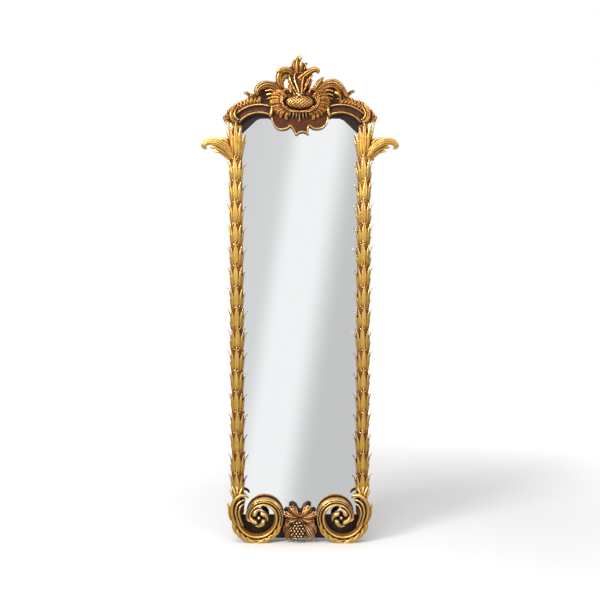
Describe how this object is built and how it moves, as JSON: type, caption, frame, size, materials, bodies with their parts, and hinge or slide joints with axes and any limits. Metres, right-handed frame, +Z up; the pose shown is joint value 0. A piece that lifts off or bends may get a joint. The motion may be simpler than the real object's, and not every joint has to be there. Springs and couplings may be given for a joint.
{
  "type": "wall mirror",
  "caption": "Tall carved giltwood pier mirror with palm-trunk uprights, a rocaille crest, scrolled feet and a vine-leaf boss.",
  "frame": {"origin": "the hanging point on the flat back of the crest, on the centreline, behind the shell", "axes": "+Z up, +Y into the wall, +X to the right seen from the front"},
  "size_m": [0.668, 0.0659, 1.7059],
  "materials": {
    "gilding": "yellow gold leaf over red bole on carved wood, worn on the ridges and dark brown in the recesses",
    "red_gilding": "red-brown bole with gold leaf left on the raised edges of the carving",
    "bronzed_gilding": "bronze-brown toned gilding with copper highlights",
    "dark_rail": "dark brown stained wood, matt",
    "silvered_glass": "flat silvered glass",
    "backboard_pine": "bare softwood board"
  },
  "bodies": {
    "root": {"left_palm_stile": "gilding", "right_palm_stile": "gilding", "crest": "red_gilding", "base_rail": "dark_rail", "left_volute": "gilding", "right_volute": "gilding", "vine_leaf_boss": "bronzed_gilding", "mirror_plate": "silvered_glass", "backboard": "backboard_pine"}
  },
  "joints": []
}
